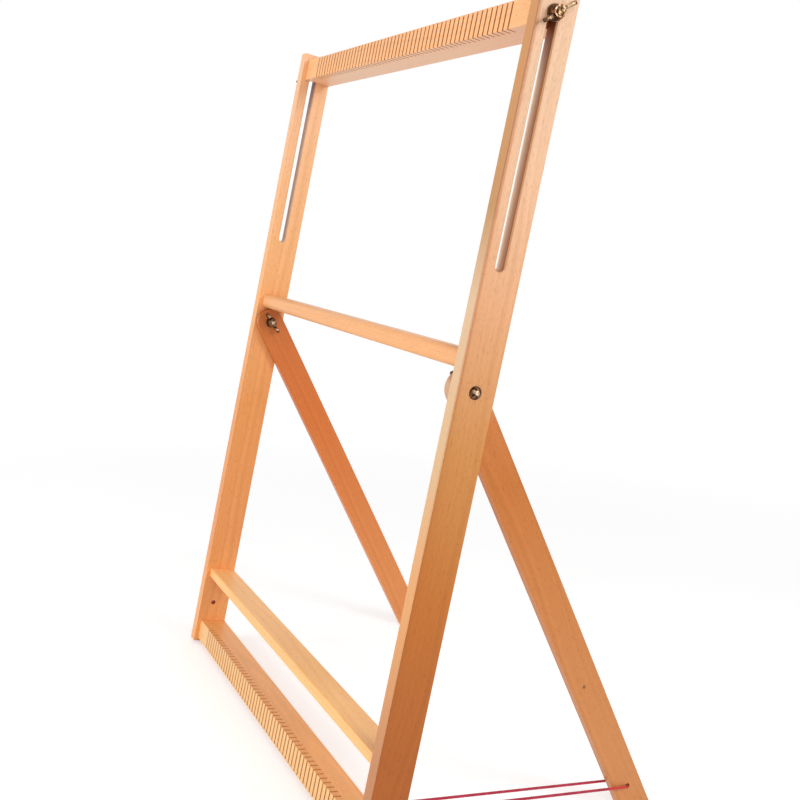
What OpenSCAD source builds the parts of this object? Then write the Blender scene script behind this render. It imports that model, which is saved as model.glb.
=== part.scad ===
// Standing frame loom: two slotted posts, two kerfed warp beams, two rails and
// two folding legs. Millimetres. X runs across the loom, Y runs to the back and
// Z is up; the origin is on the floor below the middle of the loom.
// Pieces of the leaning frame are drawn upright, with y as the depth from the
// posts' front faces and z as the height along the posts, and then leaned back.

/* [Frame] */
// width over the outer faces of the posts
frame_w = 462; // [360:1:640]
// length of a post
post_len = 630; // [570:1:800]
// thickness of a post, across the loom
post_t = 12; // [10:0.5:18]
// depth of a post, front to back
post_w = 30; // [28:0.5:44]
// angle at which the posts lean back
lean = 8; // [4:0.5:14]

/* [Warp beams] */
// depth of a beam
beam_w = 26; // [22:0.5:36]
// height of a beam
beam_h = 20; // [16:0.5:30]
// how far the beams and rails sit behind the posts' front faces
setback = 4; // [1:0.5:8]
// gap from the top of the posts down to the upper beam
upper_drop = 6.2; // [0.5:0.1:12]
// gap from the bottom of the posts up to the lower beam
lower_raise = 3.5; // [0.3:0.1:12]
// distance from one warp kerf to the next
kerf_pitch = 7.2; // [4:0.1:12]
// width of a saw kerf
kerf_w = 1.6; // [0.8:0.1:2.6]
// depth of a saw kerf
kerf_deep = 7; // [3:0.5:12]
// least plain length left at each end of a beam
kerf_margin = 30; // [27:1:60]

/* [Rails] */
// height of the middle rail's section
middle_h = 14; // [11:0.5:22]
// top of the middle rail, along the posts
middle_top = 381; // [373:1:420]
// rounding of the middle rail's long edges
middle_round = 4.5; // [0.5:0.5:5]
// height of the lower rail's section
lower_h = 9; // [8:0.5:20]
// top of the lower rail, along the posts
lower_top = 81; // [63:1:140]
// rounding of the lower rail's long edges
lower_round = 1.5; // [0.5:0.5:3]

/* [Clamp slots] */
// width of a slot
slot_w = 7; // [6.6:0.1:9]
// length of a slot from end to end
slot_len = 178; // [60:1:210]
// distance of the slot's middle line from the post's front face
slot_inset = 12.5; // [11:0.5:15]
// easing of a slot's edges
slot_ease = 1; // [0.3:0.1:1.5]
// diameter of a clamp stud
stud_d = 6; // [4:0.5:6]
// length of stud screwed into the end of the upper beam
stud_in = 25; // [12:1:26]
// how far a stud sits below the middle of the upper beam
stud_drop = 2; // [0:0.5:3]

/* [Legs] */
// width of a leg
leg_w = 26.5; // [18:0.5:27]
// thickness of a leg
leg_t = 8; // [6:0.5:16]
// angle between a leg and its post when the loom stands
leg_angle = 37.2; // [28:0.1:45]
// height of the leg's pivot, along the posts
pivot_up = 353; // [333:1:353]
// distance of the pivot from the post's front face
pivot_inset = 14; // [12:0.5:16]
// diameter of a pivot bolt
pivot_d = 5; // [4:0.5:6]
// distance from the pivot to the cord hole in a leg
leg_hole_out = 380; // [300:1:384]
// height of the cord hole in a post
post_hole_up = 43.5; // [31:0.5:58]
// distance of the cord hole from the post's front face
post_hole_inset = 13.5; // [8:0.5:20]
// diameter of a cord hole
cord_hole_d = 4.5; // [3.5:0.1:6]

/* [Fasteners] */
// span over the ears of a clamp wing nut
clamp_span = 28.5; // [24:0.5:34]
// height of a clamp wing nut
clamp_nut_h = 8.5; // [7:0.5:14]
// turn of the clamp wing nuts from the posts' depth
clamp_turn = 42; // [0:1:180]
// span over the ears of a pivot wing nut
pivot_span = 24; // [20:0.5:26]
// height of a pivot wing nut
pivot_nut_h = 8.5; // [7:0.5:12]
// turn of the left pivot wing nut from the posts' depth
left_pivot_turn = 47; // [0:1:180]
// turn of the right pivot wing nut from the posts' depth
right_pivot_turn = 60; // [0:1:180]
// thickness of a wing nut's ears
ear_t = 2.2; // [1.4:0.1:3]
// thickness of a clamp washer
washer_t = 1.2; // [0.8:0.1:2]
// diameter of a clamp washer
washer_d = 12; // [11:0.5:16]
// diameter of the spacer between a leg and its post
spacer_d = 16; // [12:0.5:20]
// thickness of that spacer
spacer_t = 0.9; // [0.5:0.1:2]
// diameter of the washer under a pivot wing nut
pivot_washer_d = 10; // [9:0.5:16]
// thickness of that washer
pivot_washer_t = 1; // [0.6:0.1:1.6]
// diameter of a pivot bolt's domed head
head_d = 10; // [8:0.5:14]
// height of the domed head
head_h = 3; // [2:0.1:4]
// diameter of the dowels in the beams and the middle rail
dowel_d = 6; // [4:0.5:8]
// diameter of the dowels in the lower rail
small_dowel_d = 5; // [3:0.5:6]
// depth of a dowel in a post
dowel_in_post = 8; // [5:0.5:8]
// depth of a dowel in a beam or rail
dowel_in_rail = 20; // [12:1:24]

/* [Stay cord] */
// diameter of the cord
cord_d = 2; // [1.5:0.1:2.4]

/* [Fits] */
// running clearance on the radius of a bolt or stud in its hole
run_fit = 0.05; // [0.02:0.01:0.1]
// clearance on the radius of a dowel
dowel_fit = 0.05; // [0.02:0.01:0.1]
// gap between a moving beam or washer and the posts
slide_gap = 0.3; // [0.1:0.05:0.5]
// gap on each side of a turning leg or wing nut
turn_gap = 0.1; // [0.05:0.05:0.3]

/* [Hidden] */
$fn = 64;

// faces across the loom, measured from its middle
post_out = frame_w / 2;
post_in = post_out - post_t;
leg_out = post_in - spacer_t - turn_gap;
leg_in = leg_out - leg_t;
upper_half = post_in - slide_gap;

// heights along the posts
upper_top = post_len - upper_drop;
upper_mid = upper_top - beam_h / 2;
lower_mid = lower_raise + beam_h / 2;
middle_mid = middle_top - middle_h / 2;
lower_rail_mid = lower_top - lower_h / 2;
stud_r = stud_d / 2;
stud_play = (slot_w - stud_d) / 2;
stud_up = upper_mid - stud_drop;
slot_top = stud_up + stud_r + stud_play;

// the legs stand in the upright world, so their pivot is leaned back with the posts
leg_lean = leg_angle - lean;
lift = post_w * sin(lean);
pivot_y = pivot_up * sin(lean) + pivot_inset * cos(lean);
pivot_z = pivot_up * cos(lean) - pivot_inset * sin(lean) + lift;
foot_back = pivot_y + pivot_z * tan(leg_lean) + leg_w / 2 / cos(leg_lean);
middle_y = foot_back / 2;

// fasteners
pivot_r = pivot_d / 2;
pivot_washer_out = leg_in - turn_gap;
pivot_nut_base = pivot_washer_out - pivot_washer_t - turn_gap;
clamp_washer_out = post_out + slide_gap + washer_t;
clamp_nut_base = clamp_washer_out + turn_gap;
hub_share = 0.72;
stud_proud = 0.6;
dowel_spread = beam_w * 0.46;
dowel_mid = setback + beam_w / 2;

// stay cord, as [across, depth, height along the post] round the loop,
// each with the cord's thickness there: the knot is the thick stretch
cord_corners = [
    [233.0, 19.6, 44.1, 1],
    [232.7, 13.5, 43.5, 1],
    [217.4, 13.5, 43.5, 1],
    [208.7, 228.6, 49.8, 1],
    [208.5, 243.8, 50.3, 1],
    [219.6, 243.8, 50.3, 1],
    [232.6, 31.6, 45.5, 1],
    [233.0, 27.6, 45, 1],
    [233.9, 25, 44.7, 2.1],
    [233.9, 22.2, 44.4, 2.1]
];
cord_bend = 4.8;
cord_run_steps = 18;
cord_sides = 8;

// cord route with every corner rounded and the long runs divided
function between(a, b, k) = a + (b - a) * k;
function along(list, i) = list[(i + len(list)) % len(list)];
function span_of(a, b) = norm([b[0] - a[0], b[1] - a[1], b[2] - a[2]]);
function cut_at(p, q) = min(0.4, cord_bend / span_of(p, q));
function corner_points(list, i) =
    let (p = along(list, i), a = between(p, along(list, i - 1), cut_at(p, along(list, i - 1))),
         b = between(p, along(list, i + 1), cut_at(p, along(list, i + 1))))
    [for (t = [0:0.25:1]) between(between(a, p, t), between(p, b, t), t)];
function run_points(list, i) =
    let (p = along(list, i), q = along(list, i + 1), n = span_of(p, q) > 100 ? cord_run_steps : 0)
    [for (k = [1:1:n]) between(p, q, k / (n + 1))];
cord_path = [for (i = [0:len(cord_corners) - 1])
    each concat(corner_points(cord_corners, i), run_points(cord_corners, i))];

// ring of points round the path at one place, level with the posts' length
function place_of(p) = [p[0], p[1], p[2]];
function unit(v) = v / norm(v);
function ring_at(list, i) =
    let (t = unit(place_of(along(list, i + 1)) - place_of(along(list, i - 1))),
         side = unit(cross(t, [0, 0, 1])), up = cross(side, t), r = cord_d / 2 * list[i][3])
    [for (k = [0:cord_sides - 1])
        place_of(list[i]) + r * (cos(360 * k / cord_sides) * side + sin(360 * k / cord_sides) * up)];

// leans a piece that was drawn upright on the posts
module leaned() {
    translate([0, -middle_y, lift]) rotate([-lean, 0, 0]) children();
}

// extrudes a side view (depth, height) across the loom from one x to another
module across(from, to) {
    translate([from, 0, 0]) rotate([90, 0, 90]) linear_extrude(to - from) children();
}

// puts a piece that stands on z = 0 on an axis across the loom, pointing out
module outward(x, depth, height, turn = 0) {
    translate([x, depth, height]) rotate([90, 0, 90]) rotate([0, 0, turn]) children();
}

// the same, pointing to the middle of the loom
module inward(x, depth, height, turn = 0) {
    translate([x, depth, height]) rotate([-90, 0, 90]) rotate([0, 0, turn]) children();
}

module both_sides() {
    children();
    mirror([1, 0, 0]) children();
}

module rounded_bar(depth, height, r) {
    translate([r, 0]) square([depth - 2 * r, height]);
    translate([0, r]) square([depth, height - 2 * r]);
    for (x = [r, depth - r], y = [r, height - r]) {
        translate([x, y]) circle(r);
    }
}

// two dowels side by side in the depth of a bar, at one height along the posts
module dowel_pair(d, height, gap = 0) {
    for (shift = [-0.5, 0.5]) {
        outward(post_in - dowel_in_rail, dowel_mid + shift * dowel_spread, height)
            cylinder(r = d / 2 + gap, h = dowel_in_rail + dowel_in_post);
    }
}

// right post, drawn upright
module post() {
    difference() {
        across(post_in, post_out) square([post_w, post_len]);
        translate([post_in - 1, slot_inset, slot_top - slot_w / 2]) slot_cutter();
        outward(post_in - 1, pivot_inset, pivot_up) cylinder(r = pivot_r + run_fit, h = post_t + 2);
        outward(post_in - 1, post_hole_inset, post_hole_up) cylinder(d = cord_hole_d, h = post_t + 2);
        dowel_pair(dowel_d, middle_mid, dowel_fit);
        dowel_pair(small_dowel_d, lower_rail_mid, dowel_fit);
        dowel_pair(dowel_d, lower_mid, dowel_fit);
    }
}

// slot through a post that stands from x = 1 to post_t + 1, edges eased on both faces
module slot_cutter() {
    rise = slot_len - slot_w;
    rotate([90, 0, 90]) {
        linear_extrude(post_t + 2) {
            circle(d = slot_w);
            translate([0, -rise]) circle(d = slot_w);
            translate([-slot_w / 2, -rise]) square([slot_w, rise]);
        }
        slot_flare(rise);
        translate([0, 0, post_t + 2]) mirror([0, 0, 1]) slot_flare(rise);
    }
}

// 45 degree easing of the slot's edge on the face at z = 1
module slot_flare(rise) {
    wide = slot_w / 2 + slot_ease + 1;
    for (y = [0, -rise]) {
        translate([0, y, 0]) cylinder(r1 = wide, r2 = slot_w / 2, h = slot_ease + 1);
    }
    rotate([90, 0, 0]) linear_extrude(rise) polygon([
        [-wide, 0], [wide, 0], [slot_w / 2, slot_ease + 1], [-slot_w / 2, slot_ease + 1]
    ]);
}

// warp beam standing on z = 0, with a comb of saw kerfs in its front edge
module kerfed_beam(half) {
    count = floor((2 * half - 2 * kerf_margin) / kerf_pitch) + 1;
    first = -(count - 1) / 2 * kerf_pitch;
    linear_extrude(beam_h) difference() {
        translate([-half, setback]) square([2 * half, beam_w]);
        for (i = [0:count - 1]) {
            translate([first + i * kerf_pitch - kerf_w / 2, setback - 1]) square([kerf_w, kerf_deep + 1]);
        }
    }
}

// leg in side view, with its pivot at the origin and its foot cut on the floor
module leg_outline() {
    difference() {
        rotate(leg_lean) {
            circle(d = leg_w);
            translate([-leg_w / 2, -2 * pivot_z]) square([leg_w, 2 * pivot_z]);
        }
        translate([-3 * pivot_z, -4 * pivot_z]) square([6 * pivot_z, 3 * pivot_z]);
    }
}

module leg() {
    translate([0, pivot_y - middle_y, pivot_z]) difference() {
        across(leg_in, leg_out) leg_outline();
        outward(leg_in - 1, 0, 0) cylinder(r = pivot_r + run_fit, h = leg_t + 2);
        rotate([leg_lean, 0, 0]) outward(leg_in - 1, 0, -leg_hole_out)
            cylinder(d = cord_hole_d, h = leg_t + 2);
    }
}

// wing nut standing on z = 0 with its ears along x
module wing_nut(span, height, bore_r) {
    hub_h = height * hub_share;
    hub_r = bore_r + 2.6;
    hub_top_r = bore_r + 1.4;
    tip_r = height * 0.38;
    tip_x = span / 2 - tip_r;
    tip_z = height - tip_r;
    difference() {
        union() {
            cylinder(r1 = hub_r, r2 = hub_top_r, h = hub_h);
            for (way = [0, 180]) {
                rotate([90, 0, way]) linear_extrude(ear_t, center = true) {
                    translate([tip_x, tip_z]) circle(tip_r);
                    polygon([
                        [bore_r, 0.8],
                        [hub_r - 0.1, 0.8],
                        [tip_x + tip_r * cos(-38), tip_z + tip_r * sin(-38)],
                        [tip_x, tip_z],
                        [tip_x + tip_r * cos(128), tip_z + tip_r * sin(128)],
                        [hub_top_r, hub_h * 0.82],
                        [bore_r, hub_h * 0.9]
                    ]);
                }
            }
        }
        translate([0, 0, -1]) cylinder(r = bore_r, h = height + 2);
    }
}

module washer(d, bore_d, t) {
    difference() {
        cylinder(d = d, h = t);
        translate([0, 0, -1]) cylinder(d = bore_d, h = t + 2);
    }
}

// domed head on z = 0 with the shank below it
module domed_bolt(shank) {
    dome_r = (head_d * head_d / 4 + head_h * head_h) / (2 * head_h);
    rotate_extrude() intersection() {
        translate([0, head_h - dome_r]) circle(dome_r);
        square([head_d, head_h + 1]);
    }
    translate([0, 0, -shank]) cylinder(r = pivot_r, h = shank);
}

module left_post() {
    color("burlywood") leaned() mirror([1, 0, 0]) post();
}

module right_post() {
    color("burlywood") leaned() post();
}

module upper_beam() {
    color("wheat") leaned() difference() {
        translate([0, 0, upper_mid - beam_h / 2]) kerfed_beam(upper_half);
        both_sides() outward(upper_half - stud_in, slot_inset, stud_up)
            cylinder(r = stud_r + dowel_fit, h = stud_in + 1);
    }
}

module lower_beam() {
    color("wheat") leaned() difference() {
        translate([0, 0, lower_mid - beam_h / 2]) kerfed_beam(post_in);
        both_sides() dowel_pair(dowel_d, lower_mid, dowel_fit);
    }
}

module middle_rail() {
    color("navajowhite") leaned() difference() {
        translate([0, setback, middle_mid - middle_h / 2])
            across(-post_in, post_in) rounded_bar(beam_w, middle_h, middle_round);
        both_sides() dowel_pair(dowel_d, middle_mid, dowel_fit);
    }
}

module lower_rail() {
    color("navajowhite") leaned() difference() {
        translate([0, setback, lower_rail_mid - lower_h / 2])
            across(-post_in, post_in) rounded_bar(beam_w, lower_h, lower_round);
        both_sides() dowel_pair(small_dowel_d, lower_rail_mid, dowel_fit);
    }
}

module left_leg() {
    color("peru") mirror([1, 0, 0]) leg();
}

module right_leg() {
    color("peru") leg();
}

module pivot_bolts() {
    shank = post_out - pivot_nut_base + pivot_nut_h * hub_share + stud_proud;
    color("goldenrod") leaned() both_sides() outward(post_out, pivot_inset, pivot_up) domed_bolt(shank);
}

module pivot_spacers() {
    color("gold") leaned() both_sides() outward(post_in - spacer_t, pivot_inset, pivot_up)
        washer(spacer_d, pivot_d + 2 * run_fit, spacer_t);
}

module pivot_washers() {
    color("gold") leaned() both_sides() inward(pivot_washer_out, pivot_inset, pivot_up)
        washer(pivot_washer_d, pivot_d + 2 * run_fit, pivot_washer_t);
}

module right_pivot_wing_nut() {
    color("darkgoldenrod") leaned() inward(pivot_nut_base, pivot_inset, pivot_up, right_pivot_turn)
        wing_nut(pivot_span, pivot_nut_h, pivot_r + run_fit);
}

module left_pivot_wing_nut() {
    color("darkgoldenrod") leaned() mirror([1, 0, 0])
        inward(pivot_nut_base, pivot_inset, pivot_up, left_pivot_turn)
        wing_nut(pivot_span, pivot_nut_h, pivot_r + run_fit);
}

module clamp_studs() {
    reach = clamp_nut_base + clamp_nut_h * hub_share + stud_proud - upper_half + stud_in;
    color("goldenrod") leaned() both_sides()
        outward(upper_half - stud_in, slot_inset, stud_up) cylinder(r = stud_r, h = reach);
}

module clamp_washers() {
    color("gold") leaned() both_sides() outward(post_out + slide_gap, slot_inset, stud_up)
        washer(washer_d, stud_d + 2 * run_fit, washer_t);
}

module right_clamp_wing_nut() {
    color("darkgoldenrod") leaned() outward(clamp_nut_base, slot_inset, stud_up, clamp_turn)
        wing_nut(clamp_span, clamp_nut_h, stud_r + run_fit);
}

module left_clamp_wing_nut() {
    color("darkgoldenrod") leaned() mirror([1, 0, 0])
        outward(clamp_nut_base, slot_inset, stud_up, clamp_turn)
        wing_nut(clamp_span, clamp_nut_h, stud_r + run_fit);
}

module middle_rail_dowels() {
    color("tan") leaned() both_sides() dowel_pair(dowel_d, middle_mid);
}

module lower_rail_dowels() {
    color("tan") leaned() both_sides() dowel_pair(small_dowel_d, lower_rail_mid);
}

module lower_beam_dowels() {
    color("tan") leaned() both_sides() dowel_pair(dowel_d, lower_mid);
}

// endless cord through the right leg's hole and the right post's hole
module stay_cord() {
    n = len(cord_path);
    points = [for (i = [0:n - 1]) each ring_at(cord_path, i)];
    function at(i, k) = (i % n) * cord_sides + k % cord_sides;
    faces = [for (i = [0:n - 1], k = [0:cord_sides - 1]) each [
        [at(i, k), at(i, k + 1), at(i + 1, k + 1)],
        [at(i, k), at(i + 1, k + 1), at(i + 1, k)]
    ]];
    color("crimson") leaned() polyhedron(points = points, faces = faces);
}

left_post();
right_post();
upper_beam();
lower_beam();
middle_rail();
lower_rail();
left_leg();
right_leg();
pivot_bolts();
pivot_spacers();
pivot_washers();
left_pivot_wing_nut();
right_pivot_wing_nut();
clamp_studs();
clamp_washers();
left_clamp_wing_nut();
right_clamp_wing_nut();
middle_rail_dowels();
lower_rail_dowels();
lower_beam_dowels();
stay_cord();
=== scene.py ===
"""Looks of a standing frame loom: beech, antique brass and a crimson stay cord.

Metres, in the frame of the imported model: X across the loom, Y to the back, Z up.
"""
import math
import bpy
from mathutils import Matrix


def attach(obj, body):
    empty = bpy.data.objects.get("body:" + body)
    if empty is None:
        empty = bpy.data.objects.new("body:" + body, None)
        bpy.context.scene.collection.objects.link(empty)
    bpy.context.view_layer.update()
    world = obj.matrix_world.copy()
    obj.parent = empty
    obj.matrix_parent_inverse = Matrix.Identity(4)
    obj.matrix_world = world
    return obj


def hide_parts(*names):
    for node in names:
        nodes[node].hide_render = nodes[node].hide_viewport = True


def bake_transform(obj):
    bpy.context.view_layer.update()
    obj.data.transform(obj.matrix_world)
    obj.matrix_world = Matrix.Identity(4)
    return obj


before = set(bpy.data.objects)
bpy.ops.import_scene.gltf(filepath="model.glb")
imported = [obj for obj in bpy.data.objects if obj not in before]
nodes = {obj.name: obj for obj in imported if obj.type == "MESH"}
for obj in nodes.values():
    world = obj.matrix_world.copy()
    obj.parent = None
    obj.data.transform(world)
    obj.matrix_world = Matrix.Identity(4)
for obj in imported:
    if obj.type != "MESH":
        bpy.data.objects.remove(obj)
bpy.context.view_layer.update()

import bmesh  # noqa: E402
import bpy  # noqa: E402
from mathutils import Matrix, Vector  # noqa: E402

scene = bpy.context.scene

# ---------------------------------------------------------------- leaned frame
LEAN = math.radians(8)
LEG_LEAN = math.radians(29.2)
MIDDLE_Y = 137.39016396  # the posts' foot lies this far before the middle, in mm
LIFT = 4.17519303  # the posts' front corner is this far above the floor, in mm


def turned(x, depth, height):
    """A direction given along the leaned posts, in the upright world."""
    s, c = math.sin(LEAN), math.cos(LEAN)
    return Vector((x, height * s + depth * c, height * c - depth * s))


def place(x, depth, height):
    """A point given along the leaned posts in mm, in the world in metres."""
    return (turned(x, depth, height) + Vector((0, -MIDDLE_Y, LIFT))) / 1000


# ---------------------------------------------------------------------- camera
PHOTO_PX = 800
LENS_CENTRE_PX = (440, 410)  # where the lens's axis meets the cropped photograph
FOCAL_PX = 1071.51
SENSOR_MM = 36

# place in mm and directions, given along the leaned posts
CAMERA_PLACE = (864.152, -361.192, 407.436)
CAMERA_RIGHT = (0.45691957, 0.86559638, 0.20485948)
CAMERA_DOWN = (0.18185300, 0.13453959, -0.97407833)
CAMERA_AHEAD = (-0.87072038, 0.48232977, -0.09593753)


def add_camera():
    right, down, ahead = (turned(*v) for v in (CAMERA_RIGHT, CAMERA_DOWN, CAMERA_AHEAD))
    data = bpy.data.cameras.new("photo_camera")
    data.sensor_width = SENSOR_MM
    data.lens = FOCAL_PX * SENSOR_MM / PHOTO_PX
    data.shift_x = 0.5 - LENS_CENTRE_PX[0] / PHOTO_PX
    data.shift_y = LENS_CENTRE_PX[1] / PHOTO_PX - 0.5
    data.clip_start, data.clip_end = 0.01, 200
    camera = bpy.data.objects.new("photo_camera", data)
    turn = Matrix((right, -down, -ahead)).transposed().to_4x4()
    camera.matrix_world = Matrix.Translation(place(*CAMERA_PLACE)) @ turn
    scene.collection.objects.link(camera)
    scene.camera = camera


add_camera()


# ------------------------------------------------------------- material helpers
def srgb(r, g, b):
    """A colour written in sRGB, 0 to 255, as linear values."""

    def linear(v):
        v /= 255
        return v / 12.92 if v <= 0.04045 else ((v + 0.055) / 1.055) ** 2.4

    return (linear(r), linear(g), linear(b), 1)


def grey(v):
    return (v, v, v, 1)


class Graph:
    """Short calls for building the nodes of one material or world."""

    def __init__(self, owner):
        self.owner = owner
        owner.use_nodes = True
        self.tree = owner.node_tree
        self.tree.nodes.clear()

    def feed(self, socket, value):
        """Links another socket to this one, or sets it to a constant."""
        if isinstance(value, bpy.types.NodeSocket):
            self.tree.links.new(value, socket)
        else:
            socket.default_value = value

    def node(self, kind, inputs=None, **settings):
        n = self.tree.nodes.new(kind)
        for key, value in settings.items():
            setattr(n, key, value)
        for key, value in (inputs or {}).items():
            self.feed(n.inputs[key], value)
        return n

    # numbers
    def math(self, operation, *values, clamp=False):
        n = self.node("ShaderNodeMath", dict(enumerate(values)), operation=operation)
        n.use_clamp = clamp
        return n.outputs[0]

    def magnitude(self, value):
        return self.math("ABSOLUTE", value)

    def product(self, made, *factors):
        for factor in factors:
            made = self.math("MULTIPLY", made, factor)
        return made

    def weighted(self, *pairs):
        """The sum of some values, each times its weight."""
        made = None
        for value, weight in pairs:
            term = self.math("MULTIPLY", value, weight)
            made = term if made is None else self.math("ADD", made, term)
        return made

    def span(self, value, low, high, to_low=0.0, to_high=1.0):
        """Maps low..high to to_low..to_high, held at the ends."""
        ends = {"From Min": low, "From Max": high, "To Min": to_low, "To Max": to_high}
        return self.node("ShaderNodeMapRange", {"Value": value, **ends}).outputs[0]

    # places and directions
    def coordinates(self):
        """The object's own place and normal."""
        n = self.node("ShaderNodeTexCoord")
        return n.outputs["Object"], n.outputs["Normal"]

    def part(self, vector, axis):
        """The X, Y or Z of a vector."""
        return self.node("ShaderNodeSeparateXYZ", {"Vector": vector}).outputs[axis]

    def vector(self, operation, *values, **named):
        inputs = {**dict(enumerate(values)), **named}
        return self.node("ShaderNodeVectorMath", inputs, operation=operation).outputs

    def length(self, vector):
        return self.vector("LENGTH", vector)["Value"]

    def distance(self, point, centre):
        return self.vector("DISTANCE", point, centre)["Value"]

    def off_axis(self, point, centre):
        """Distance from the line along X that crosses Y and Z at the centre."""
        flat = {"Y": self.part(point, "Y"), "Z": self.part(point, "Z")}
        flat = self.node("ShaderNodeCombineXYZ", flat).outputs[0]
        return self.distance(flat, (0, *centre))

    def rotated(self, vector, angles):
        return self.node("ShaderNodeMapping", {"Vector": vector, "Rotation": angles}).outputs[0]

    def stretched(self, vector, x, y, z, location=(0, 0, 0)):
        inputs = {"Vector": vector, "Location": location, "Scale": (x, y, z)}
        return self.node("ShaderNodeMapping", inputs).outputs[0]

    def noise(self, vector, scale, detail=2.0, rough=0.5):
        inputs = {"Vector": vector, "Scale": scale, "Detail": detail, "Roughness": rough}
        return self.node("ShaderNodeTexNoise", inputs).outputs[0]

    # colours; a Mix node keeps its colours at inputs 6 and 7 and at output 2
    def mix(self, factor, a, b, kind="MIX"):
        inputs = {0: factor, 6: a, 7: b}
        return self.node("ShaderNodeMix", inputs, data_type="RGBA", blend_type=kind).outputs[2]

    def tint(self, factor, colour, by):
        """A colour multiplied by another one, as far as the factor says."""
        return self.mix(factor, colour, by, "MULTIPLY")

    def tones(self, value, tones):
        """A colour that passes through each tone at that tone's value."""
        made = srgb(*tones[0][1])
        for (start, _), (stop, tone) in zip(tones, tones[1:]):
            made = self.mix(self.span(value, start, stop), made, srgb(*tone))
        return made

    # shaders
    def bump(self, strength, distance, height):
        inputs = {"Strength": strength, "Distance": distance, "Height": height}
        return self.node("ShaderNodeBump", inputs).outputs[0]

    def seen_directly(self):
        """1 where the camera sees this itself, mirrored or through glass."""
        path = self.node("ShaderNodeLightPath").outputs
        seen = self.math("MAXIMUM", path["Is Camera Ray"], path["Is Glossy Ray"])
        return self.math("MAXIMUM", seen, path["Is Transmission Ray"])

    def finish(self, shader):
        world = isinstance(self.owner, bpy.types.World)
        kind = "ShaderNodeOutputWorld" if world else "ShaderNodeOutputMaterial"
        self.node(kind, {"Surface": shader})
        return self.owner

    def finish_surface(self, **inputs):
        """A principled shader; the inputs' names have _ for their spaces."""
        inputs = {key.replace("_", " "): value for key, value in inputs.items()}
        return self.finish(self.node("ShaderNodeBsdfPrincipled", inputs).outputs[0])


# ------------------------------------------------------------------------ beech
ALONG_POST = (LEAN, 0, 0)
ALONG_LEG = (-LEG_LEAN, 0, 0)
ALONG_X = (0, -math.pi / 2, 0)

POST_OUT, POST_IN = 0.231, 0.219  # the posts' faces, from the middle of the loom
HALF_DEPTH = 0.015  # of a post
SLOT_MIDDLE = 0.121634  # from the turned axes' origin back to the slot's middle
PIN_KNOT = (0.218, 0.05556, 0.1144)
POST_HOLE = (-0.1179675, 0.0453730)  # where a cord hole's axis crosses Y and Z
LEG_HOLE = (0.1109884, 0.0200810)

# how early and late wood differ from the mean colour
EARLY_WOOD, LATE_WOOD = (1.14, 1.15, 1.22, 1), (0.86, 0.83, 0.74, 1)


def growth_rings(g, along, seed, pith):
    """Early and late wood, by the distance from a pith line that wanders."""
    wander = g.node(
        "ShaderNodeTexNoise",
        {"Vector": g.stretched(along, 1, 1, 0.35, (seed, 0, 0)), "Scale": 9.0, "Detail": 1.0},
    ).outputs["Color"]
    wander = g.vector("SUBTRACT", wander, (0.5, 0.5, 0.5))[0]
    wander = g.vector("SCALE", wander, Scale=0.022)[0]
    bent = g.vector("ADD", along, wander)[0]
    out = g.length(g.stretched(bent, 1, 1, 0.02, (*pith, 0)))
    ring = g.node(
        "ShaderNodeTexNoise",
        {"W": out, "Scale": 420.0, "Detail": 2.5, "Roughness": 0.6},
        noise_dimensions="1D",
    ).outputs[0]
    return g.span(ring, 0.34, 0.72)


def dark_front_arris(g, along, place_along):
    """How dark the post's front outer edge is made, more towards the top."""
    aside = g.math("SUBTRACT", g.magnitude(g.part(along, "X")), POST_OUT)
    behind = g.math("ADD", g.part(along, "Y"), SLOT_MIDDLE + HALF_DEPTH)
    off = g.length(g.node("ShaderNodeCombineXYZ", {"X": aside, "Y": behind}).outputs[0])
    return g.product(g.span(off, 0.0024, 0.0012), g.span(place_along, 0.2, 0.5, 0.1, 0.6))


def slot_walls(g, along, facing, shade):
    """Where the walls of the clamp's slot are, and the painted shade on them: brown, darker
    towards the top, with a painted cream highlight towards the inner face.
    """
    across, height = g.magnitude(g.part(along, "X")), g.part(along, "Z")
    deep = g.magnitude(g.math("ADD", g.part(along, "Y"), SLOT_MIDDLE))
    sideways = g.magnitude(g.part(facing, "X"))
    wall = g.product(
        g.span(deep, 0.006, 0.0045),
        g.span(sideways, 0.75, 0.55),
        g.span(height, 0.609, 0.607),
        g.span(height, 0.0, 0.01),
    )
    # painted shade: brown walls, a painted cream highlight towards the inner face, darker
    # towards the top
    inwards = g.span(across, POST_OUT - 0.001, POST_IN)
    painted_slot_shade = g.mix(inwards, srgb(180, 108, 50), srgb(255, 240, 214))
    painted_slot_shade = g.mix(g.span(height, 0.55, 0.585), painted_slot_shade, srgb(140, 76, 40))
    return wall, g.tint(shade, painted_slot_shade, srgb(236, 222, 206))


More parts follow.
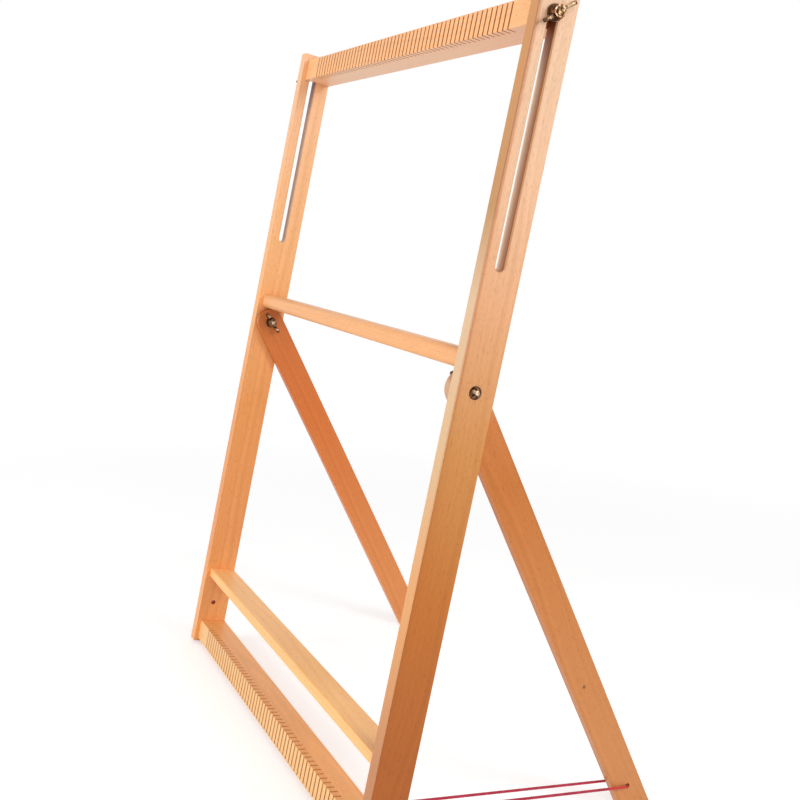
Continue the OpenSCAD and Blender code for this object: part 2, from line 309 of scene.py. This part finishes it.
def beech(
    name,
    grain,
    tones,
    seed,
    pith=(0.03, 0.02),
    cut_tone=0.55,
    under=None,
    front=None,
    slotted=False,
    bore=None,
    pin=None,
):
    """Beech with growth rings round a pith line, rays, pores and a satin finish.

    grain: turns the object's axes so that the piece's length is Z
    tones: the colours, each with its place along that length; on some pieces they hold painted
    light and shade
    pith: where the middle of the tree lies across the length, in metres
    cut_tone: how much darker the sawn end grain is; in the beams' saw kerfs this darkening is
    partly painted shade
    under, front: tones of the underside and of the front face, painted lighter or darker than
    the rest as painted light and shade
    slotted: whether the piece has the clamp's slot, whose walls get painted shade
    bore: where the cord hole's axis crosses Y and Z; the hole's wall gets painted shade
    pin: the place of one small pin knot
    """
    g = Graph(bpy.data.materials.new(name))
    at, normal = g.coordinates()
    along, facing = g.rotated(at, grain), g.rotated(normal, grain)
    cut = g.span(g.magnitude(g.part(facing, "Z")), 0.75, 0.95)

    # rings, fibres, pores, rays and clouds, all stretched along the grain
    ring = growth_rings(g, along, seed, pith)
    fibre = g.noise(g.stretched(along, 1, 1, 0.035, (0, seed, 0)), 900, 3, 0.65)
    pore = g.noise(g.stretched(along, 1, 1, 0.12, (seed, seed, 0)), 2600, 1, 0.5)
    ray = g.noise(g.stretched(along, 1, 1, 0.16, (0, 0, seed)), 1300, 1, 0.45)
    cloud = g.noise(g.stretched(along, 1, 1, 0.25, (seed, 0, seed)), 14, 3, 0.55)

    # a tone that drifts along the length, with pale early and darker late wood; on some pieces
    # the tones along the length are painted light and shade
    drift = g.product(g.math("SUBTRACT", cloud, 0.5), 0.12)
    place_along = g.math("ADD", g.part(along, "Z"), drift)
    shade = g.weighted((ring, 0.38), (fibre, 0.34), (cloud, 0.40))
    shade = g.math("SUBTRACT", shade, 0.06, clamp=True)
    colour = g.tones(place_along, tones)
    colour = g.tint(1.0, colour, g.mix(shade, EARLY_WOOD, LATE_WOOD))
    rays = g.product(g.span(ray, 0.62, 0.70), 0.24)
    colour = g.tint(rays, colour, srgb(176, 118, 80))
    pores = g.span(pore, 0.60, 0.75, 0.0, 0.22)
    colour = g.tint(pores, colour, srgb(150, 96, 62))

    # faces, edges and holes with a shade of their own, much of it painted light and shade
    # the underside's own tones: painted light from below
    if under is not None:
        face = g.tint(shade, g.tones(place_along, under), srgb(250, 234, 218))
        colour = g.mix(g.span(g.part(normal, "Z"), -0.7, -0.9), colour, face)
    # the front face's own tones: painted light and shade
    if front is not None:
        face = g.tint(shade, g.tones(place_along, front), srgb(236, 214, 196))
        colour = g.mix(g.span(g.part(facing, "Y"), -0.6, -0.95), colour, face)
        # the front outer edge darkened, more towards the top
        colour = g.tint(dark_front_arris(g, along, place_along), colour, srgb(206, 150, 98))
    # darker end grain, partly painted shade in the beams' saw kerfs
    colour = g.tint(g.product(cut, cut_tone), colour, srgb(176, 112, 66))
    # painted shade on the slot's walls, with a painted highlight at their inner edge
    if slotted:
        wall, painted_slot_shade = slot_walls(g, along, facing, shade)
        colour = g.mix(wall, colour, painted_slot_shade)
    # painted shade inside the cord hole
    if bore is not None:
        hole = g.span(g.off_axis(at, bore), 0.0026, 0.00225, 0.0, 0.92)
        colour = g.mix(hole, colour, srgb(206, 80, 8))
    if pin is not None:
        near = g.math("ADD", g.distance(at, pin), g.product(fibre, 0.0006))
        colour = g.mix(g.span(near, 0.0021, 0.0012), colour, srgb(128, 72, 34))

    rough = g.math("ADD", g.product(fibre, 0.16), 0.34)
    relief = g.weighted((fibre, 0.6), (pores, -1.2), (ring, 0.25))
    return g.finish_surface(
        Base_Color=colour,
        Roughness=g.math("ADD", rough, g.product(cut, 0.15)),
        Normal=g.bump(0.22, 0.00012, relief),
        IOR=1.4,
        Coat_Weight=0.12,
        Coat_Roughness=0.3,
    )


BEAM = [(0, (247, 181, 120))]
woods = {
    "left_post": beech(
        "beech_left_post",
        ALONG_POST,
        [
            (0.015, (240, 168, 102)),
            (0.08, (228, 150, 86)),
            (0.25, (228, 150, 82)),
            (0.38, (243, 176, 112)),
            (0.55, (240, 182, 132)),
        ],
        seed=3.1,
        slotted=True,
        bore=POST_HOLE,
    ),
    "right_post": beech(
        "beech_right_post",
        ALONG_POST,
        # painted light and shade: pale towards the top, darkening towards the foot
        [
            (0.07, (168, 88, 18)),
            (0.19, (182, 104, 30)),
            (0.30, (194, 131, 68)),
            (0.40, (214, 157, 113)),
            (0.50, (219, 174, 138)),
            (0.56, (209, 168, 132)),
        ],
        seed=11.7,
        # painted reflection: a pale band up the middle of the front face, darker at the foot and
        # the top
        front=[
            (0.06, (196, 135, 86)),
            (0.18, (234, 172, 108)),
            (0.28, (228, 192, 148)),
            (0.40, (230, 200, 163)),
            (0.48, (198, 150, 94)),
            (0.56, (208, 150, 90)),
        ],
        slotted=True,
        bore=POST_HOLE,
    ),
    "upper_beam": beech(
        "beech_upper_beam",
        ALONG_X,
        BEAM,
        seed=5.3,
        pith=(0.05, -0.58),
        cut_tone=0.8,
        # the underside painted paler than the rest: painted light thrown up from the floor
        under=[
            (-0.2, (255, 200, 156)),
            (-0.12, (255, 211, 172)),
            (0.06, (255, 205, 163)),
            (0.16, (252, 194, 150)),
        ],
    ),
    "lower_beam": beech(
        "beech_lower_beam",
        ALONG_X,
        [(0, (244, 175, 105))],
        seed=8.9,
        pith=(0.04, 0.11),
        cut_tone=0.4,
        # front face painted paler than the top: painted light
        front=[(0, (252, 207, 142))],
    ),
    "middle_rail": beech(
        "beech_middle_rail", ALONG_X, [(0, (239, 173, 114))], seed=2.2, pith=(-0.34, 0.02)
    ),
    "lower_rail": beech(
        "beech_lower_rail", ALONG_X, [(0, (255, 192, 120))], seed=7.4, pith=(-0.06, 0.07)
    ),
    "left_leg": beech(
        "beech_left_leg",
        ALONG_LEG,
        # darker towards the head: painted shadow under the middle rail
        [
            (0.0, (233, 148, 84)),
            (0.25, (218, 119, 50)),
            (0.31, (210, 114, 48)),
            (0.35, (198, 110, 44)),
        ],
        seed=4.6,
        pith=(0.03, 0.05),
        bore=LEG_HOLE,
    ),
    "right_leg": beech(
        "beech_right_leg",
        ALONG_LEG,
        # paler at the head: painted light
        [
            (0.0, (202, 132, 74)),
            (0.25, (185, 108, 42)),
            (0.305, (192, 116, 56)),
            (0.335, (206, 158, 118)),
        ],
        seed=9.5,
        pith=(-0.03, 0.04),
        bore=LEG_HOLE,
        pin=PIN_KNOT,
    ),
}
dowel_wood = beech("beech_dowels", ALONG_X, BEAM, seed=6.6)
for name in ("middle_rail_dowels", "lower_rail_dowels", "lower_beam_dowels"):
    woods[name] = dowel_wood


# ------------------------------------------------------------------------ brass
PIVOT = (-0.0743983, 0.3517914)  # where a turning axis crosses Y and Z
CLAMP = (-0.0398657, 0.6082815)
BOLT_HIGHLIGHT = (PIVOT[0] + 0.0003, PIVOT[1] + 0.0002)  # the painted highlight on the bolt head sits off centre

BROWN, BRIGHT, PALE = srgb(76, 44, 22), srgb(132, 108, 78), srgb(184, 156, 124)


def antique_brass(name, seed, dark=BROWN, bright=BRIGHT, axis=None, bright_ring=(), patchy=0.7):
    """Brass with a brown patina, bright in wear patches, more so on the flats, where that
    brightness is partly a painted highlight.

    axis is where the turning axis crosses Y and Z, and the bright ring round it goes from one
    radius to another: a painted highlight on the bolt heads, and brighter ears on the wing nuts.
    patchy is how far the patches show on the flat ends, where they are partly a painted
    highlight.
    """
    g = Graph(bpy.data.materials.new(name))
    at, normal = g.coordinates()
    patch = g.noise(g.stretched(at, 1, 1, 1, (seed, 0, 0)), 420, 3, 0.6)
    speck = g.noise(g.stretched(at, 1, 1, 1, (0, seed, 0)), 2400, 2, 0.5)
    tool_marks = g.noise(g.stretched(at, 1, 0.15, 0.15, (0, 0, seed)), 5200, 2, 0.6)
    # faces along X get more of the bright patches: partly a painted highlight
    proud = g.span(g.magnitude(g.part(normal, "X")), 0.55, 0.99)
    flats = g.math("ADD", g.product(proud, patchy), 0.12)
    wear_and_highlight = g.product(g.span(patch, 0.44, 0.60), flats)
    # a bright ring round the axis: a painted highlight on the bolt heads, brighter ears on the
    # wing nuts
    if bright_ring:
        off = g.off_axis(at, axis)
        start, stop = bright_ring
        ring = g.product(
            g.span(off, start - 0.0003, start + 0.0003),
            g.span(off, stop + 0.0004, stop - 0.0004),
            g.span(patch, 0.34, 0.50, 0.35, 0.95),
        )
        wear_and_highlight = g.math("MAXIMUM", wear_and_highlight, ring)
    colour = g.mix(wear_and_highlight, dark, bright)
    colour = g.tint(g.span(speck, 0.58, 0.72, 0.0, 0.5), colour, srgb(120, 90, 60))
    rough = g.math("ADD", g.span(wear_and_highlight, 0.0, 1.0, 0.36, 0.2), g.product(speck, 0.12))
    relief = g.weighted((speck, 0.6), (tool_marks, 0.3))
    return g.finish_surface(
        Base_Color=colour,
        Metallic=1.0,
        Roughness=rough,
        Normal=g.bump(0.3, 0.00008, relief),
    )


metals = {
    # the bolt heads carry a painted highlight: a bright ring off centre on a dark head
    "pivot_bolts": antique_brass(
        "brass_bolts",
        seed=1.7,
        dark=srgb(66, 30, 10),
        bright=srgb(238, 208, 172),
        axis=BOLT_HIGHLIGHT,
        bright_ring=(0.0005, 0.0016),
        patchy=0.2,
    ),
    "clamp_studs": antique_brass("brass_studs", seed=2.9, dark=srgb(50, 32, 20)),
    "pivot_spacers": antique_brass("brass_spacers", seed=4.3),
    "pivot_washers": antique_brass("brass_pivot_washers", seed=5.9),
    "clamp_washers": antique_brass("brass_clamp_washers", seed=6.1),
}
for name, axis, seed, tips in (
    ("left_pivot_wing_nut", PIVOT, 7.3, 0.0098),
    ("right_pivot_wing_nut", PIVOT, 8.8, 0.0098),
    ("left_clamp_wing_nut", CLAMP, 9.4, 0.0108),
    ("right_clamp_wing_nut", CLAMP, 3.6, 0.0108),
):
    metals[name] = antique_brass(
        "brass_" + name, seed, bright=PALE, axis=axis, bright_ring=(0.0062, tips), patchy=0.45
    )


# ------------------------------------------------- finishes on the CAD's pieces
SANDED, CRISP = 0.0007, 0.00025  # widths of an eased edge


def dress(node, material, edge):
    """Puts a finish on a CAD piece and eases its edges."""
    piece = nodes[node]
    piece.data.materials.clear()
    piece.data.materials.append(material)
    weld = piece.modifiers.new("joined", "WELD")
    weld.merge_threshold = 0.000002
    clean = piece.modifiers.new("flat_faces_joined", "DECIMATE")
    clean.decimate_type = "DISSOLVE"
    clean.angle_limit = math.radians(0.6)
    bevel = piece.modifiers.new("eased_edges", "BEVEL")
    bevel.width = edge
    bevel.segments = 2
    bevel.limit_method = "ANGLE"
    bevel.angle_limit = math.radians(40)
    bevel.use_clamp_overlap = True
    bevel.harden_normals = True


for name, wood in woods.items():
    kerfed = name in ("upper_beam", "lower_beam")
    dress(name, wood, CRISP if kerfed else SANDED)
for name, metal in metals.items():
    dress(name, metal, CRISP)


# ------------------------------------------------------------------------- cord
CORD_D = 0.002
CORD_BEND = 4.8  # how far from a corner its rounding starts, in mm
CORD_STEP = 0.0006
CORD_PITCH = 0.0062  # length of one turn of the strands
KNOT_RADIUS, KNOT_PITCH = 0.0009, 0.005
KNOT_PLACE = (233.75, 23.4, 44.5)  # along the leaned posts, in mm

# the loop's corners, given along the leaned posts in mm
CORD_CORNERS = [
    (233.0, 19.6, 44.1),
    (232.7, 13.5, 43.5),
    (217.4, 13.5, 43.5),
    (208.7, 228.6, 50.6),
    (208.5, 243.8, 51.1),
    (219.6, 243.8, 50.3),
    (232.6, 31.6, 45.5),
    (233.0, 27.6, 45),
    (233.7, 26.0, 44.8),
]


def cord_route():
    """Centre line of the cord: rounded corners, and close points between them."""
    points = [place(*c) for c in CORD_CORNERS]
    line = [points[0]]
    for before, here, after in zip(points, points[1:], points[2:]):
        cut_a = min(0.4 * (here - before).length, CORD_BEND / 1000)
        cut_b = min(0.4 * (here - after).length, CORD_BEND / 1000)
        a = here + (before - here).normalized() * cut_a
        b = here + (after - here).normalized() * cut_b
        for t in (0, 0.25, 0.5, 0.75, 1):
            line.append(a * (1 - t) ** 2 + here * 2 * t * (1 - t) + b * t * t)
    line.append(points[-1])
    return line


def evenly(line, step):
    """The same line with a point at every step, ends kept, and its length."""
    total = sum((b - a).length for a, b in zip(line, line[1:]))
    count = round(total / step)
    gap, made, left = total / count, [line[0]], 0.0
    for a, b in zip(line, line[1:]):
        run = (b - a).length
        while left + gap <= run + 1e-12 and len(made) < count:
            left += gap
            made.append(a.lerp(b, left / run))
        left -= run
    made.append(line[-1])
    return made, total


def carried_frames(line):
    """A side and an up direction at each point, with no sudden turn between points."""
    side, frames = None, []
    for before, after in zip(line[:1] + line, line[1:] + line[-1:]):
        ahead = (after - before).normalized()
        side = ahead.orthogonal() if side is None else side - ahead * side.dot(ahead)
        side.normalize()
        frames.append((side.copy(), ahead.cross(side)))
    return frames


def circled(centre, side, up, radius, turn):
    """A point round a centre, the turn given in radians from the side direction."""
    return centre + (side * math.cos(turn) + up * math.sin(turn)) * radius


def twisted(name, line, radius, pitch, material, strands=3, sides=8, closed_ends=True):
    """A laid cord: strands wound round a line, as one mesh."""
    mesh = bmesh.new()
    gap = (line[1] - line[0]).length
    # the strands sink a little into each other and stand proud of the radius
    strand_radius, lay_radius = radius * 0.71, radius * 0.47
    frames = carried_frames(line)
    for k in range(strands):
        centres = []
        for i, (p, (side, up)) in enumerate(zip(line, frames)):
            turn = 2 * math.pi * (i * gap / pitch + k / strands)
            centres.append(circled(p, side, up, lay_radius, turn))
        rings = []
        for p, (side, up) in zip(centres, carried_frames(centres)):
            turns = [2 * math.pi * j / sides for j in range(sides)]
            ring = [mesh.verts.new(circled(p, side, up, strand_radius, t)) for t in turns]
            rings.append(ring)
        for one, two in zip(rings, rings[1:]):
            for j in range(sides):
                beside = (j + 1) % sides
                mesh.faces.new((one[j], one[beside], two[beside], two[j]))
        if closed_ends:
            mesh.faces.new(list(reversed(rings[0])))
            mesh.faces.new(rings[-1])
    bmesh.ops.recalc_face_normals(mesh, faces=mesh.faces)
    data = bpy.data.meshes.new(name)
    mesh.to_mesh(data)
    mesh.free()
    data.polygons.foreach_set("use_smooth", [True] * len(data.polygons))
    data.materials.append(material)
    piece = bpy.data.objects.new(name, data)
    scene.collection.objects.link(piece)
    return piece


def crimson_cord(name):
    """Dyed cotton yarn: fine fibres along the strands, a soft sheen."""
    g = Graph(bpy.data.materials.new(name))
    at, _ = g.coordinates()
    fuzz = g.noise(at, 5200, 3, 0.7)
    dye = g.noise(at, 160, 2, 0.5)
    colour = g.mix(g.span(dye, 0.35, 0.65), srgb(170, 14, 50), srgb(194, 36, 74))
    # faded on the right leg's outer face, and painted shade inside the leg's hole
    outside = g.span(g.part(at, "X"), 0.2175, 0.2195)
    by_leg = g.span(g.part(at, "Y"), 0.084, 0.098)
    colour = g.mix(g.product(outside, by_leg), colour, srgb(206, 48, 34))
    hole = g.span(g.off_axis(at, LEG_HOLE), 0.0032, 0.0019, 0.0, 0.9)
    colour = g.mix(hole, colour, srgb(92, 12, 0))
    colour = g.tint(g.span(fuzz, 0.45, 0.75, 0.0, 0.5), colour, srgb(150, 14, 44))
    return g.finish_surface(
        Base_Color=colour,
        Roughness=g.span(fuzz, 0.3, 0.7, 0.75, 0.95),
        Normal=g.bump(0.5, 0.00015, fuzz),
        Sheen_Weight=0.25,
        Sheen_Roughness=0.5,
    )


def knot_line():
    """A pulled-tight overhand knot between the cord's two ends."""
    middle = place(*KNOT_PLACE)
    along = turned(0, 1, 0.2).normalized()
    out = Vector((1, 0, 0))
    across = along.cross(out)
    made = []
    steps = 240
    for i in range(steps + 1):
        t = 2 * math.pi * i / steps
        a = math.sin(t) + 2 * math.sin(2 * t)
        b = math.cos(t) - 2 * math.cos(2 * t)
        c = -math.sin(3 * t)
        made.append(middle + along * (a * 0.00075) + across * (b * 0.00062) + out * (c * 0.0006))
    return made


red = crimson_cord("crimson_twisted_cord")
route, route_length = evenly(cord_route(), CORD_STEP)
cord = twisted("twisted_stay_cord", route, CORD_D / 2, CORD_PITCH, red)
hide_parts("stay_cord")

knot = twisted(
    "stay_cord_knot", knot_line(), KNOT_RADIUS, KNOT_PITCH, red, closed_ends=False
)
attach(knot, "frame")
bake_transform(cord)


# ------------------------------------------------------------- floor and light
WHITE = grey(1)


def pale_floor():
    """A pale floor whose far part fades to white; it keeps the loom's shadow."""
    g = Graph(bpy.data.materials.new("pale_floor"))
    at, _ = g.coordinates()
    mottle = g.span(g.noise(at, 3, 3, 0.5), 0.3, 0.7)
    matt = g.node("ShaderNodeBsdfDiffuse", {"Color": g.mix(mottle, grey(0.78), grey(0.80))})
    seen = g.seen_directly()
    lift = g.node("ShaderNodeEmission", {"Color": WHITE, "Strength": g.product(seen, 0.42)})
    near = g.node("ShaderNodeAddShader", {0: matt.outputs[0], 1: lift.outputs[0]})
    white = g.node("ShaderNodeEmission", {"Color": WHITE, "Strength": 1.0})
    far = g.product(g.span(g.length(at), 0.45, 1.3), seen)
    both = {0: far, 1: near.outputs[0], 2: white.outputs[0]}
    return g.finish(g.node("ShaderNodeMixShader", both).outputs[0])


def add_floor():
    mesh = bmesh.new()
    bmesh.ops.create_grid(mesh, x_segments=8, y_segments=8, size=60)
    data = bpy.data.meshes.new("studio_floor")
    mesh.to_mesh(data)
    mesh.free()
    data.materials.append(pale_floor())
    floor = bpy.data.objects.new("studio_floor", data)
    floor.location.z = -0.0001
    scene.collection.objects.link(floor)


def add_world():
    """A white studio that lights the loom at half its own brightness."""
    g = Graph(bpy.data.worlds.new("studio"))
    soft = g.node("ShaderNodeBackground", {"Color": WHITE, "Strength": 0.5}).outputs[0]
    white = g.node("ShaderNodeBackground", {"Color": WHITE, "Strength": 1.0}).outputs[0]
    both = g.node("ShaderNodeMixShader", {0: g.seen_directly(), 1: soft, 2: white})
    scene.world = g.finish(both.outputs[0])


def add_softbox(name, at, towards, side, watts):
    data = bpy.data.lights.new(name, "AREA")
    data.shape = "RECTANGLE"
    data.size = data.size_y = side
    data.energy = watts
    lamp = bpy.data.objects.new(name, data)
    lamp.location = at
    lamp.rotation_euler = (Vector(towards) - Vector(at)).to_track_quat("-Z", "Y").to_euler()
    scene.collection.objects.link(lamp)


add_floor()
add_world()
add_softbox("key_softbox", (1.05, 0.45, 0.95), (0.2, -0.05, 0.5), 0.5, 6)
add_softbox("side_softbox", (1.6, -0.5, 0.7), (0, 0, 0.3), 1.0, 8)
add_softbox("front_softbox", (-0.3, -1.7, 0.7), (0, 0, 0.35), 1.0, 15)
scene.view_settings.view_transform = "Standard"
